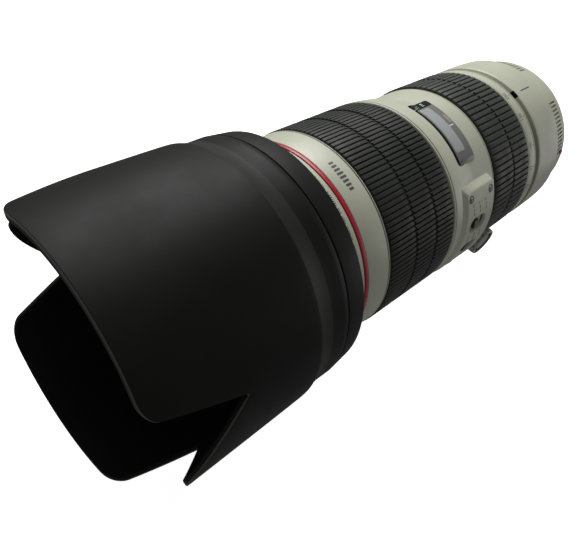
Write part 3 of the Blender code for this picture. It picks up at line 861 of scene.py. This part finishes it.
def build_switch_panel():
    """Raised plate down the barrel's side with four scooped switches, screws and printed ticks."""
    half, shoulder = PANEL_HALF_ARC, 1.65
    levels = []
    for z, x0, x1, inset, corner in ((-1.6, -11.4, 11.4, 0.0, 0.8), (-1.1, -11.4, 11.2, 0.1, 0.8),
                                     (shoulder, -11.0, 9.4, 2.7, 0.9), (1.85, -10.8, 9.0, 3.1, 0.8),
                                     (1.9, -10.6, 8.75, 3.4, 0.7)):
        levels.append((z, box_outline(x0, x1, -half + inset, half - inset, corner)))
    panel = loft(levels, "switch_panel_plate", WHITE)
    slice_up(panel, 0, -11.4, 11.4, 1.0)
    for vertex in panel.data.vertices:
        s = PANEL_S + vertex.co.x / MM
        depth = min(1.0, max(0.0, (shoulder - vertex.co.z / MM) / (shoulder + 1.1)))
        vertex.co.z += depth * barrel_flare(s) * MM
    tools = []
    for angle in SWITCH_ANGLES:
        x, y = panel_point(SWITCH_S, angle)
        scoop = ((0.45, 11.0, 6.0), (0.9, 11.4, 6.4), (1.75, 11.9, 6.9), (2.5, 12.7, 7.7))
        tools.append(loft([(z, slot_outline(a, b, x, y)) for z, a, b in scoop], "scoop", WHITE))
    for s, angle in PANEL_SCREWS:
        x, y = panel_point(s, angle)
        tools.append(loft([(1.05, circle(x, y, 1.6)), (1.7, circle(x, y, 1.65)), (2.3, circle(x, y, 2.1))],
                          "pocket", WHITE))
    cut(panel, tools)
    slice_up(panel, 1, -half, half, 0.9)
    wrap(panel, PANEL_S, PANEL_R, 0.0)
    settle(panel, "barrel", "white_paint", "switch_panel")

    for k, (s, angle) in enumerate(PANEL_SCREWS):
        screw = cross_screw(f"panel_screw_head_{k + 1}", 1.35, 0.7, DARK_STEEL)
        settle(stand_out(screw, s, PANEL_R + 1.05, angle), "barrel", "steel", f"panel_screw_{k + 1}")
    floors, ticks = [], []
    for k, angle in enumerate(SWITCH_ANGLES):
        x, y = panel_point(SWITCH_S, angle)
        slot, tread = slot_outline(10.8, 5.8, x, y), box_outline(x - 3.8, x + 3.8, y - 2.8, y + 2.8, 1.2)
        floors.append(loft([(0.3, slot), (0.5, slot)], "floor", BLACK))
        floors.append(loft([(0.4, tread), (0.62, tread)], "tread", KNOB_GREY))
        foot = box_outline(-1.9, 1.9, -1.55, 1.55, 0.4)
        ridges = [loft([(0.68, foot), (0.9, foot)], "nib", BLACK)]
        grip = [(z, box_outline(-a, a, -b, b, corner))
                for z, a, b, corner in ((0.85, 1.5, 2.3, 0.6), (1.6, 1.4, 2.2, 0.6), (1.8, 1.2, 2.0, 0.5))]
        ridges.append(loft(grip, "nib", BLACK))
        for across in (-0.9, 0.0, 0.9):
            strip = box_outline(across - 0.2, across + 0.2, -1.9, 1.9, 0.15, 2)
            top = box_outline(across - 0.08, across + 0.08, -1.8, 1.8, 0.05, 2)
            ridges.append(loft([(1.7, strip), (2.1, top)], "ridge", KNOB_GREY))
        slider = join(ridges, f"switch_nib_{k + 1}")
        stand_out(slider, SWITCH_S + 1.0, PANEL_R, angle)
        settle(slider, f"switch_{k + 1}", "dark_plastic", f"switch_slider_{k + 1}")
        for row in range(3 if k == 0 else 2):
            for col in range(3):
                tick = mark(0.5, 1.5 - 0.35 * ((row + col) % 2), 1.93)
                ticks.append(shift(tick, x - 5.2 + 4.6 * col + 0.5 * row, y + 5.6 + 2.0 * row, 0.0))
    bed = join(floors, "switch_beds")
    slice_up(bed, 1, -half, half, 0.9)
    settle(wrap(bed, PANEL_S, PANEL_R, 0.0), "barrel", "dark_plastic")
    settle(wrap(join(ticks, "panel_ticks"), PANEL_S, PANEL_R, 0.0), "barrel", "dark_plastic")


# ---------------- zoom sleeve and rear


def build_zoom_sleeve():
    outline = [
        (37.0, 38.2), (37.0, 39.6, 0.2), (37.5, 40.0, 0.25), (38.15, 40.05, 0.05), (38.2, 39.8),
        (38.45, 39.8), (38.5, 40.05, 0.05), (43.2, 40.1, 0.1), (43.3, 39.85), (43.5, 39.85),
        (43.6, 40.1, 0.1), (44.1, 40.1, 0.1), (44.4, 39.3), (73.1, 39.1), (73.1, 37.4),
        (40.0, 37.4),
    ]
    settle(lathe("zoom_scale_sleeve", outline, WHITE, inside=(ANODISED, 38.4)), "zoom_ring", "white_paint",
           "zoom_sleeve")
    seam("zoom_sleeve_seam", 38.19, 38.46, 39.92, "zoom_ring")
    numerals = []
    for text, angle in (("200", 89.8), ("135", 73.0), ("100", 52.6), ("85", 38.0), ("70", 24.0)):
        numerals.append(wrap(print_text(text, 2.6, INK, "numeral"), 41.6, 40.1, angle))
        numerals.append(wrap(mark(1.2, 0.28, 0.03), 39.4, 40.06, angle))
    settle(join(numerals, "zoom_numerals"), "zoom_ring", "dark_plastic")


def build_rear_barrel():
    """Mount barrel with short grip grooves in groups, and the red mount index."""
    grooves = []
    for start, count in ((32.5, 14), (106.0, 14), (212.5, 14), (286.0, 14)):
        grooves += [start + 3.0 * k for k in range(count)]
    rows = [(0.3, 35.5), (0.35, 35.8), (0.7, 36.15), (1.2, 36.35), (4.8, 36.97), (5.0, 37.0), (5.3, 37.05),
            (11.6, 38.0), (11.9, 38.05), (12.1, 38.08), (12.9, 38.2), (13.3, 38.15), (13.5, 37.9),
            (13.5, 37.0), (36.4, 36.9), (36.4, 36.0), (3.0, 36.0), (3.0, 33.0), (0.3, 33.0)]
    sunk = {5: 0.4, 6: 0.8, 7: 0.8, 8: 0.4}
    depth = {}
    for angle in even(240):
        if all(abs((angle - g + 180.0) % 360.0 - 180.0) > 1.0 for g in grooves):
            depth[angle] = 0.0
    for groove in grooves:
        for offset, share in ((-0.9, 0.0), (-0.55, 0.9), (0.0, 1.0), (0.55, 0.9), (0.9, 0.0)):
            depth[(groove + offset) % 360.0] = share

    def profile(angle):
        return [(s, r - sunk.get(k, 0.0) * depth[angle]) for k, (s, r) in enumerate(rows)]

    shell = sweep("rear_barrel_shell", profile, sorted(depth), [WHITE], sharp=35.0)
    settle(shell, "barrel", "white_paint", "rear_barrel")
    dome = []
    for height, r in ((-0.6, 1.45), (0.1, 1.45), (0.4, 1.3), (0.62, 0.9), (0.7, 0.4)):
        dome.append((height, circle(0, 0, r)))
    settle(stand_out(loft(dome, "mount_index_dot", RED), 4.6, 36.9, 31.0), "barrel", "red_paint")


CLAW_CENTRES = (30.0, 150.0, 270.0)
CLAW_HALF = 24.0
SCREW_CIRCLE_R = 29.8


def build_mount():
    """Bayonet: polished flange with throat, three claws, four screws, seal and contacts."""
    angles = set(even(180))
    for centre in CLAW_CENTRES:
        for side in (-1, 1):
            for k in range(5):
                angles.add((centre + side * (CLAW_HALF + 0.4 * k)) % 360.0)

    def profile(angle):
        away = min(abs((angle - centre + 180.0) % 360.0 - 180.0) for centre in CLAW_CENTRES)
        claw = 24.65 + 2.35 * smooth_step(1.0 - (away - CLAW_HALF) / 1.6)
        return [(-6.0, 22.9), (-6.0, claw - 0.4), (-5.75, claw - 0.08), (-5.5, claw), (-4.6, claw),
                (-4.4, claw - 0.15), (-4.35, 24.55), (-0.1, 24.5), (0.0, 24.7), (0.0, 32.1), (0.12, 32.38),
                (0.4, 32.5), (3.0, 32.5), (3.0, 22.6), (-5.6, 22.6)]

    def on_flange(item, s, angle):
        """Stand a flat piece on the flange's rear face at the screw circle."""
        turn = Matrix.Rotation(radians(-90.0), 4, "X")
        item.data.transform(Matrix.Translation(point_at(s, SCREW_CIRCLE_R, angle)) @ turn)
        return item

    plate = sweep("mount_bayonet_ring", profile, sorted(angles), [CHROME], sharp=35.0)
    hollow = [(-1.6, circle(0, 0, 1.7)), (-0.25, circle(0, 0, 1.75)), (0.4, circle(0, 0, 2.3))]
    pockets = [on_flange(loft(hollow, "pocket", CHROME), 0.0, angle) for angle in even(4)]
    settle(cut(plate, pockets), "barrel", "steel", "mount_bayonet")
    for k, angle in enumerate(even(4)):
        screw = on_flange(cross_screw(f"mount_screw_head_{k + 1}", 1.5, 0.8, CHROME), 1.0, angle)
        settle(screw, "barrel", "steel", f"mount_screw_{k + 1}")
    seal = [(-0.9, 33.7, 0.3), (-0.9, 34.7, 0.3), (-0.2, 35.2, 0.2), (0.25, 35.2), (0.25, 33.1)]
    settle(lathe("mount_seal", seal, BLACK), "barrel", "rubber", "mount_gasket")
    block = [(-5.0, 19.4), (-5.0, 21.8), (-4.7, 22.1), (4.0, 22.1), (4.0, 19.0), (-4.7, 19.0)]
    carrier = arc("contact_carrier", block, -125.0, 70.0, BLACK, 40)
    settle(carrier, "barrel", "dark_plastic", "contact_block")
    pad = [(-5.25, 19.9), (-5.25, 21.3), (-4.8, 21.5), (-4.8, 19.7)]
    pads = [arc("pad", pad, -120.5 + 6.4 * k, 3.4, GOLD, 4) for k in range(10)]
    settle(join(pads, "contact_pads"), "barrel", "brass")


# ---------------- tripod collar

HINGE_ANGLE, HINGE_R = 178.0, 42.8
SPLIT_ANGLE = HINGE_ANGLE - 180.0
KNOB_PLACE, KNOB_TILT = (32.15, -27.0, -39.26), 13.0
COLLAR_OUTLINE = [
    (13.8, 37.3), (13.8, 38.9, 0.3), (14.5, 39.6, 0.4), (20.0, 39.95, 2.0), (31.0, 40.2, 2.0),
    (34.1, 40.2, 0.4), (36.4, 38.1, 0.3), (36.4, 37.3),
]


def knuckle(name, s0, s1, lug_start, lug_end):
    """One barrel of the collar's hinge with its lug, for a union with the ring."""
    barrel = [(s0, 1.0), (s0, 2.1, 0.3), (s1, 2.1, 0.3), (s1, 1.0)]
    tube = lathe(name, barrel, WHITE, 48)
    tube.data.transform(Matrix.Translation(point_at(0.0, HINGE_R, HINGE_ANGLE)))
    lug = [(s0, 38.6), (s0, 41.6), (s1, 41.6), (s1, 38.6)]
    return [tube, arc("lug", lug, lug_start, lug_end - lug_start, WHITE)]


def build_collar():
    edge = 0.25
    points = softened(COLLAR_OUTLINE)

    def bevel(side):
        """The front bevel is painted darker: painted shade beside the zoom scale."""
        s, r = points[side]
        return int(s > 34.3 and r > 38.2)

    def half_ring(name, start):
        angles = even(160, start + edge, 180.0 - 2 * edge)
        return sweep(name, lambda angle: points, angles, [WHITE, SHADED_BEVEL_WHITE], full=False, slot_of=bevel)

    band = half_ring("collar_band_shell", SPLIT_ANGLE)
    cut(band, knuckle("knuckle", 20.4, 29.6, HINGE_ANGLE - 7.0, HINGE_ANGLE - 0.8), "UNION")
    recess = [(33.9, 38.9), (33.9, 40.8), (37.0, 40.8), (37.0, 38.0), (35.6, 38.0)]
    cut(band, [arc("recess", recess, 86.0, 5.5, WHITE)])
    settle(band, "collar_band", "white_paint", "collar_band")
    line = [(21.6, 39.8), (21.6, 40.03), (29.5, 40.21), (29.5, 39.8)]
    settle(arc("collar_index_line", line, 88.5, 0.8, INK, 4), "collar_band", "dark_plastic")
    bed = [(33.92, 38.4), (33.92, 40.0), (34.12, 40.0), (34.2, 39.05), (35.6, 38.25), (36.35, 38.2),
           (36.35, 37.6)]
    settle(arc("collar_index_notch", bed, 86.05, 5.4, MATT_BLACK), "collar_band", "dark_plastic")

    base = half_ring("collar_base_shell", HINGE_ANGLE)
    tools = []
    for s0, s1 in ((15.0, 20.0), (30.0, 35.0)):
        tools += knuckle("knuckle", s0, s1, HINGE_ANGLE + 0.8, HINGE_ANGLE + 7.0)
    neck = []
    for z, half, s0, s1 in ((-37.0, 11.5, 15.0, 34.4), (-42.5, 11.0, 15.0, 34.4), (-46.0, 9.6, 15.2, 34.2),
                            (-52.0, 8.9, 15.4, 34.0), (-58.0, 9.1, 15.3, 34.1), (-61.5, 10.0, 15.0, 34.4),
                            (-63.7, 11.4, 15.0, 34.4)):
        neck.append((z, box_outline(-half, half, -s1, -s0, 3.0)))
    tools.append(loft(neck, "neck", WHITE))
    boss = []
    for x, half in ((14.0, 6.0), (26.0, 5.8), (30.1, 5.5), (30.6, 5.1)):
        boss.append((x, box_outline(-half, half, 21.2, 32.8, 4.0 if x > 20 else 1.0)))
    lump = loft(boss, "boss", WHITE)
    turn = Matrix(((0, 0, 1, 0), (0, -1, 0, 0), (1, 0, 0, 0), (0, 0, 0, 1)))
    lump.data.transform(Matrix.Translation(Vector((0.0, 0.0, KNOB_PLACE[2] + 0.5)) * MM) @ turn)
    lump.data.flip_normals()
    tools.append(lump)
    cut(base, tools, "UNION")
    settle(base, "collar", "white_paint", "collar_base")

    rod = [(14.8, 0.0), (14.8, 0.7, 0.2), (35.2, 0.7, 0.2), (35.2, 0.0)]
    pin = lathe("hinge_pin_rod", rod, STEEL, 32)
    pin.data.transform(Matrix.Translation(point_at(0.0, HINGE_R, HINGE_ANGLE)))
    settle(pin, "collar", "steel", "collar_hinge_pin")
    build_foot()
    build_knob()


def build_foot():
    """Dovetail foot with two threaded sockets underneath."""
    levels = []
    for z, half, inset in ((-73.0, 14.3, 0.7), (-72.6, 14.8, 0.2), (-72.0, 15.0, 0.0), (-67.6, 15.0, 0.0),
                           (-67.2, 14.8, 0.0), (-64.3, 11.9, 0.6), (-64.0, 11.4, 1.0)):
        levels.append((z, box_outline(-half, half, -58.0 + inset, -2.0 - inset, 4.0)))
    plate = loft(levels, "foot_plate", WHITE)
    tools = []
    for s, r in ((22.0, 3.2), (40.0, 4.8)):
        bore = [(-74.0, circle(0, -s, r + 0.9)), (-72.5, circle(0, -s, r))]
        for k in range(5):
            bore += [(-72.2 + k, circle(0, -s, r + 0.25)), (-71.8 + k, circle(0, -s, r - 0.1))]
        tools.append(loft(bore, "bore", WHITE))
    settle(cut(plate, tools), "collar", "white_paint", "collar_foot")


def build_knob():
    """Fluted clamp knob with a dark end disc in a light rim."""
    columns, flutes = 120, 12

    def fluted(r, depth):
        points = []
        for k in range(columns):
            turn = 2 * pi * k / columns
            reach = r - depth * (0.5 + 0.5 * cos(flutes * turn)) ** 3
            points.append((reach * cos(turn), reach * sin(turn)))
        return points

    rings = ((0.0, 4.6, 0.0), (0.9, 5.0, 0.0), (1.0, 7.4, 0.5), (1.4, 8.0, 0.9), (2.0, 8.2, 1.6),
             (7.8, 8.2, 1.6), (8.4, 8.15, 0.6), (9.2, 8.0, 0.1), (9.6, 7.6, 0.0), (9.6, 6.7, 0.0),
             (9.0, 6.5, 0.0))
    levels = [(height, fluted(r, depth)) for height, r, depth in rings]
    turn = Matrix.Translation(Vector(KNOB_PLACE) * MM) @ Matrix.Rotation(radians(90.0 - KNOB_TILT), 4, "Y")
    knob = loft(levels, "clamp_knob", KNOB_GREY)
    knob.data.transform(turn)
    settle(knob, "collar_knob", "grey_knob", "collar_knob")
    cap = loft([(8.5, circle(0, 0, 6.4, 64)), (9.1, circle(0, 0, 6.4, 64)), (9.2, circle(0, 0, 6.2, 64)),
                (8.8, circle(0, 0, 3.5, 64))], "clamp_knob_cap", HOOD)
    cap.data.transform(turn)
    settle(cap, "collar_knob", "dark_plastic")


# ---------------- optics and inner pieces


def element(name, s0, s1, r, front, rear, body, node):
    """Glass element whose faces bulge forward and back by the given heights."""
    steps = 10
    rear_face = [(s0 - rear * (1 - (k / steps) ** 2), r * k / steps) for k in range(steps)]
    front_face = [(s1 + front * (1 - (k / steps) ** 2), r * k / steps) for k in reversed(range(steps))]
    points = rear_face + [(s0, r), (s1, r)] + front_face
    item = sweep(name, lambda angle: points, even(96), [GLASS], sharp=30.0)
    settle(item, body, "glass", node)


def build_optics():
    element("front_glass", 182.0, 189.0, 39.2, 4.0, -1.0, "barrel", "front_element")
    element("focus_glass", 129.0, 135.0, 27.0, 3.0, 1.0, "focus_group", "focus_element")
    element("variator_glass", 73.0, 77.0, 21.0, -1.0, 0.5, "variator", "variator_element")
    element("compensator_glass", 56.5, 60.5, 19.0, 1.5, 0.5, "compensator", "compensator_element")
    element("stabiliser_glass", 30.0, 34.0, 16.3, 0.8, 0.6, "stabiliser_lens", "stabiliser_element")
    element("rear_glass", 18.6, 22.6, 18.0, 2.0, 1.5, "barrel", "rear_element")


def dress_inner_nodes():
    """Finishes for the CAD pieces that stay as they are."""
    finishes = {
        "main_tube": ANODISED, "focus_sleeve": BLACK, "focus_carriage": ANODISED, "cam_tube": ALUMINIUM,
        "variator_carriage": ANODISED, "compensator_carriage": ANODISED, "motor_stator": BRASS,
        "aperture_housing": ANODISED, "iris_ring": ANODISED, "stabiliser_housing": ANODISED,
        "stabiliser_yoke": ALUMINIUM, "stabiliser_cell": BLACK,
    }
    finishes |= {f"iris_blade_{k}": BLADE for k in range(1, 9)}
    for name, material in finishes.items():
        NODES[name].data.materials[0] = material


# ---------------- stage and camera


def build_stage():
    size = 4.0
    low = cad_box[0].z
    mesh = bmesh.new()
    corners = [mesh.verts.new((x * size, y * size, low)) for x, y in ((-1, -1), (1, -1), (1, 1), (-1, 1))]
    mesh.faces.new(corners)
    floor = add_object("floor", mesh, [pale_floor()])
    floor.visible_diffuse = False
    floor.visible_glossy = False
    world = bpy.data.worlds.new("studio")
    bpy.context.scene.world = world
    world.use_nodes = True
    glow = world.node_tree.nodes["Background"].inputs
    glow["Color"].default_value = (1.0, 1.0, 1.0, 1.0)
    glow["Strength"].default_value = 0.17
    bpy.context.scene.view_settings.view_transform = "Standard"


def soft_light(name, place, target, size, power):
    """White square area light that faces its target."""
    data = bpy.data.lights.new(name, "AREA")
    data.shape = "SQUARE"
    data.size = size
    data.energy = power
    item = linked(name, data)
    item.location = place
    item.rotation_euler = (Vector(target) - Vector(place)).to_track_quat("-Z", "Y").to_euler()


def build_camera():
    """Camera looking down on the lens from its front right, with a roll."""
    azimuth, elevation, roll = radians(20.06), radians(52.81), radians(35.452)
    aim, distance = Vector((0.0110, -0.17234, 0.0)), 0.24833
    back = Vector((sin(azimuth) * cos(elevation), -cos(azimuth) * cos(elevation), sin(elevation)))
    right = Vector((cos(azimuth), sin(azimuth), 0.0))
    up = back.cross(right)
    side = cos(roll) * right + sin(roll) * up
    top = cos(roll) * up - sin(roll) * right
    data = bpy.data.cameras.new("camera")
    data.lens = 40.28
    data.sensor_width = 36.0
    data.clip_start = 0.005
    item = linked("camera", data)
    placed = Matrix((side, top, back)).transposed().to_4x4()
    placed.translation = aim + back * distance
    item.matrix_world = placed
    bpy.context.scene.camera = item


build_stage()
build_camera()
soft_light("key", (-0.89, 0.295, 0.69), (0.0, -0.12, 0.0), 0.8, 15.0)
soft_light("fill", (0.55, 0.90, 0.12), (0.0, -0.10, 0.0), 0.6, 1.6)
build_hood()
build_grips()
build_front_barrel()
build_mid_barrel()
build_window()
build_drum()
build_switch_panel()
build_zoom_sleeve()
build_rear_barrel()
build_mount()
build_collar()
build_optics()
dress_inner_nodes()
